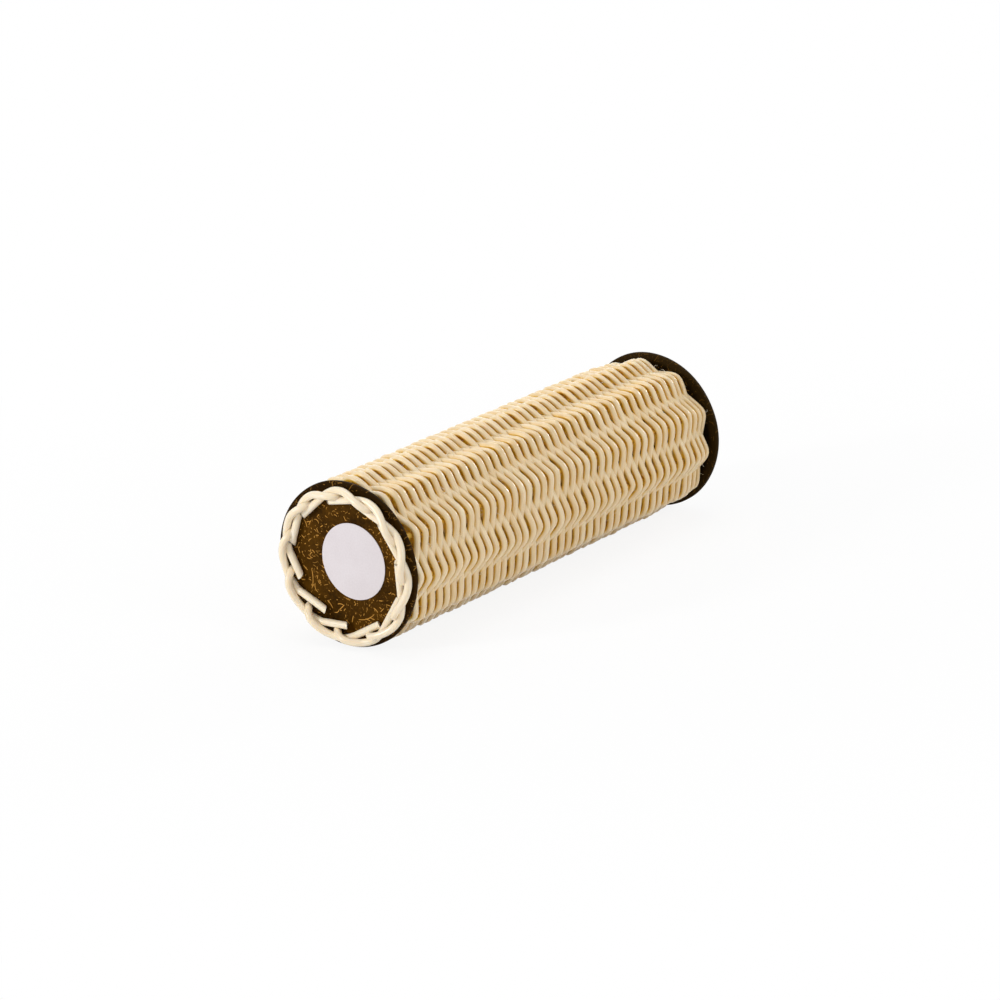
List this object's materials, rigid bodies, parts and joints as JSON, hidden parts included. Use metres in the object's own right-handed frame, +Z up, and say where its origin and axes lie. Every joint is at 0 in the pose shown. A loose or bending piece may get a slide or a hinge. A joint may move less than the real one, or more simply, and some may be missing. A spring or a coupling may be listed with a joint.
{
  "type": "ganza",
  "caption": "Rattan tube shaker: a woven reed wall round lengthwise stakes, closed by dark shell discs, with a braided border in front and loose seeds inside.",
  "frame": {"origin": "on the ground under the middle of its whole length, border included, as it lies on the rims of its two discs", "axes": "+Y along the tube from the labelled disc to the rear disc, +Z up, +X to the right seen from the labelled end"},
  "size_m": [0.0656, 0.2099, 0.0654],
  "materials": {
    "shell": "polished",
    "paper": "matt",
    "stake": "satin",
    "weave": "satin",
    "seed": "gloss"
  },
  "bodies": {
    "shaker": {"front_disc": "shell", "rear_disc": "shell", "label": "paper", "stake_01": "stake", "stake_02": "stake", "stake_03": "stake", "stake_04": "stake", "stake_05": "stake", "stake_06": "stake", "stake_07": "stake", "stake_08": "stake", "stake_09": "stake", "stake_10": "stake", "stake_11": "stake", "weaver_1": "weave", "weaver_2": "weave", "weaver_3": "weave", "weaver_4": "weave", "weaver_5": "weave", "weaver_6": "weave"},
    "seed_row_floor_1": {"seed_floor_1_1": "seed", "seed_floor_1_2": "seed", "seed_floor_1_3": "seed", "seed_floor_1_4": "seed", "seed_floor_1_5": "seed", "seed_floor_1_6": "seed", "seed_floor_1_7": "seed", "seed_floor_1_8": "seed"},
    "seed_row_floor_2": {"seed_floor_2_1": "seed", "seed_floor_2_2": "seed", "seed_floor_2_3": "seed", "seed_floor_2_4": "seed", "seed_floor_2_5": "seed", "seed_floor_2_6": "seed", "seed_floor_2_7": "seed", "seed_floor_2_8": "seed"},
    "seed_row_floor_3": {"seed_floor_3_1": "seed", "seed_floor_3_2": "seed", "seed_floor_3_3": "seed", "seed_floor_3_4": "seed", "seed_floor_3_5": "seed", "seed_floor_3_6": "seed", "seed_floor_3_7": "seed", "seed_floor_3_8": "seed"},
    "seed_row_upper_1": {"seed_upper_1_1": "seed", "seed_upper_1_2": "seed", "seed_upper_1_3": "seed", "seed_upper_1_4": "seed", "seed_upper_1_5": "seed", "seed_upper_1_6": "seed"},
    "seed_row_upper_2": {"seed_upper_2_1": "seed", "seed_upper_2_2": "seed", "seed_upper_2_3": "seed", "seed_upper_2_4": "seed", "seed_upper_2_5": "seed", "seed_upper_2_6": "seed"}
  },
  "joints": [
    {"name": "floor_1_slide", "type": "slide", "parent": "shaker", "child": "seed_row_floor_1", "axis": [0, 1, 0], "range_m": [-0.0759, 0.0407]},
    {"name": "floor_2_slide", "type": "slide", "parent": "shaker", "child": "seed_row_floor_2", "axis": [0, 1, 0], "range_m": [-0.0495, 0.0671]},
    {"name": "floor_3_slide", "type": "slide", "parent": "shaker", "child": "seed_row_floor_3", "axis": [0, 1, 0], "range_m": [-0.0319, 0.0847]},
    {"name": "upper_1_slide", "type": "slide", "parent": "shaker", "child": "seed_row_upper_1", "axis": [0, 1, 0], "range_m": [-0.0671, 0.0671]},
    {"name": "upper_2_slide", "type": "slide", "parent": "shaker", "child": "seed_row_upper_2", "axis": [0, 1, 0], "range_m": [-0.0495, 0.0847]}
  ]
}
